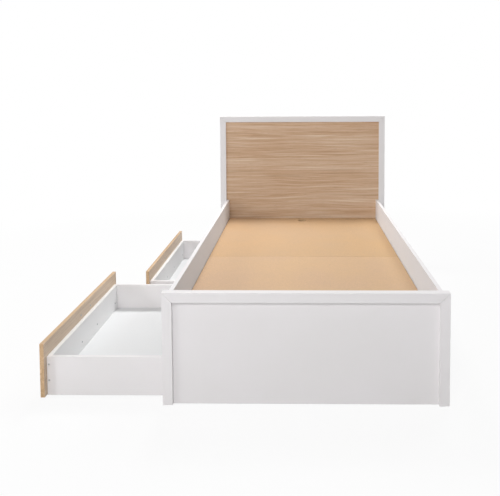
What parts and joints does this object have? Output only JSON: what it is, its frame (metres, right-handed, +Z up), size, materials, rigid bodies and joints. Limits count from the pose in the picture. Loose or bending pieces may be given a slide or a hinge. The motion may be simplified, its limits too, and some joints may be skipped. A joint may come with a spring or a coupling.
{
  "type": "bed frame",
  "caption": "Single storage bed frame with a panelled headboard and footboard, side rails, a solid lift-out base and roll-out drawers under one side.",
  "frame": {"origin": "on the floor under the middle of the bed frame, on the bottom of the centre divider's middle glide", "axes": "+Z up, +Y towards the headboard, the drawers open towards -X"},
  "size_m": [1.526, 1.97, 0.955],
  "materials": {
    "white_foil": "satin white foil on board",
    "oak_foil": "matt light oak-grain foil on board",
    "raw_board": "raw smooth fibreboard",
    "pine": "planed softwood",
    "zinc_steel": "zinc-plated",
    "brushed_nickel": "brushed nickel",
    "black_plastic": "matt moulded"
  },
  "bodies": {
    "frame": {"headboard_left_stile": "white_foil", "headboard_right_stile": "white_foil", "headboard_top_rail": "white_foil", "headboard_bottom_rail": "white_foil", "headboard_panel": "oak_foil", "footboard_left_stile": "white_foil", "footboard_right_stile": "white_foil", "footboard_top_rail": "white_foil", "footboard_panel": "white_foil", "left_side_rail": "white_foil", "right_side_panel": "white_foil", "left_ledge": "pine", "right_ledge": "pine", "centre_divider": "white_foil", "batten_1": "pine", "batten_2": "pine", "batten_3": "pine", "batten_4": "pine", "batten_5": "pine", "corner_brackets": "zinc_steel", "bracket_screws": "zinc_steel", "ledge_screws": "zinc_steel", "glides": "black_plastic"},
    "head_base": {"base_board_head": "raw_board"},
    "foot_base": {"base_board_foot": "raw_board"},
    "foot_drawer": {"foot_drawer_front": "oak_foil", "foot_drawer_box_front": "white_foil", "foot_drawer_box_back": "white_foil", "foot_drawer_left_side": "white_foil", "foot_drawer_right_side": "white_foil", "foot_drawer_bottom": "white_foil", "foot_drawer_handle": "brushed_nickel", "foot_drawer_handle_screws": "zinc_steel", "foot_drawer_front_screws": "zinc_steel", "foot_drawer_corner_screws": "zinc_steel", "foot_drawer_castor_forks": "black_plastic", "foot_drawer_axles": "zinc_steel"},
    "head_drawer": {"head_drawer_front": "oak_foil", "head_drawer_box_front": "white_foil", "head_drawer_box_back": "white_foil", "head_drawer_left_side": "white_foil", "head_drawer_right_side": "white_foil", "head_drawer_bottom": "white_foil", "head_drawer_handle": "brushed_nickel", "head_drawer_handle_screws": "zinc_steel", "head_drawer_front_screws": "zinc_steel", "head_drawer_corner_screws": "zinc_steel", "head_drawer_castor_forks": "black_plastic", "head_drawer_axles": "zinc_steel"},
    "foot_wheel_1": {"foot_drawer_wheel_1": "black_plastic"},
    "foot_wheel_2": {"foot_drawer_wheel_2": "black_plastic"},
    "foot_wheel_3": {"foot_drawer_wheel_3": "black_plastic"},
    "foot_wheel_4": {"foot_drawer_wheel_4": "black_plastic"},
    "head_wheel_1": {"head_drawer_wheel_1": "black_plastic"},
    "head_wheel_2": {"head_drawer_wheel_2": "black_plastic"},
    "head_wheel_3": {"head_drawer_wheel_3": "black_plastic"},
    "head_wheel_4": {"head_drawer_wheel_4": "black_plastic"}
  },
  "joints": [
    {"name": "head_base_lift", "type": "slide", "parent": "frame", "child": "head_base", "axis": [0, 0, 1], "range_m": [0, 0.15]},
    {"name": "foot_base_lift", "type": "slide", "parent": "frame", "child": "foot_base", "axis": [0, 0, 1], "range_m": [0, 0.15]},
    {"name": "foot_drawer_slide", "type": "slide", "parent": "frame", "child": "foot_drawer", "axis": [-1, 0, 0], "range_m": [-0.477, 0.143]},
    {"name": "head_drawer_slide", "type": "slide", "parent": "frame", "child": "head_drawer", "axis": [-1, 0, 0], "range_m": [-0.309, 0.311]},
    {"name": "foot_wheel_1_spin", "type": "hinge", "parent": "foot_drawer", "child": "foot_wheel_1", "pos_m": [-0.862, -0.821, 0.014], "axis": [0, 1, 0], "continuous": true},
    {"name": "foot_wheel_2_spin", "type": "hinge", "parent": "foot_drawer", "child": "foot_wheel_2", "pos_m": [-0.402, -0.821, 0.014], "axis": [0, 1, 0], "continuous": true},
    {"name": "foot_wheel_3_spin", "type": "hinge", "parent": "foot_drawer", "child": "foot_wheel_3", "pos_m": [-0.862, -0.127, 0.014], "axis": [0, 1, 0], "continuous": true},
    {"name": "foot_wheel_4_spin", "type": "hinge", "parent": "foot_drawer", "child": "foot_wheel_4", "pos_m": [-0.402, -0.127, 0.014], "axis": [0, 1, 0], "continuous": true},
    {"name": "head_wheel_1_spin", "type": "hinge", "parent": "head_drawer", "child": "head_wheel_1", "pos_m": [-0.694, 0.127, 0.014], "axis": [0, 1, 0], "continuous": true},
    {"name": "head_wheel_2_spin", "type": "hinge", "parent": "head_drawer", "child": "head_wheel_2", "pos_m": [-0.234, 0.127, 0.014], "axis": [0, 1, 0], "continuous": true},
    {"name": "head_wheel_3_spin", "type": "hinge", "parent": "head_drawer", "child": "head_wheel_3", "pos_m": [-0.694, 0.821, 0.014], "axis": [0, 1, 0], "continuous": true},
    {"name": "head_wheel_4_spin", "type": "hinge", "parent": "head_drawer", "child": "head_wheel_4", "pos_m": [-0.234, 0.821, 0.014], "axis": [0, 1, 0], "continuous": true}
  ],
  "couplings": [
    {"joint": "foot_wheel_1_spin", "follows": "foot_drawer_slide", "rad_per_m": -71.429},
    {"joint": "foot_wheel_2_spin", "follows": "foot_drawer_slide", "rad_per_m": -71.429},
    {"joint": "foot_wheel_3_spin", "follows": "foot_drawer_slide", "rad_per_m": -71.429},
    {"joint": "foot_wheel_4_spin", "follows": "foot_drawer_slide", "rad_per_m": -71.429},
    {"joint": "head_wheel_1_spin", "follows": "head_drawer_slide", "rad_per_m": -71.429},
    {"joint": "head_wheel_2_spin", "follows": "head_drawer_slide", "rad_per_m": -71.429},
    {"joint": "head_wheel_3_spin", "follows": "head_drawer_slide", "rad_per_m": -71.429},
    {"joint": "head_wheel_4_spin", "follows": "head_drawer_slide", "rad_per_m": -71.429}
  ]
}
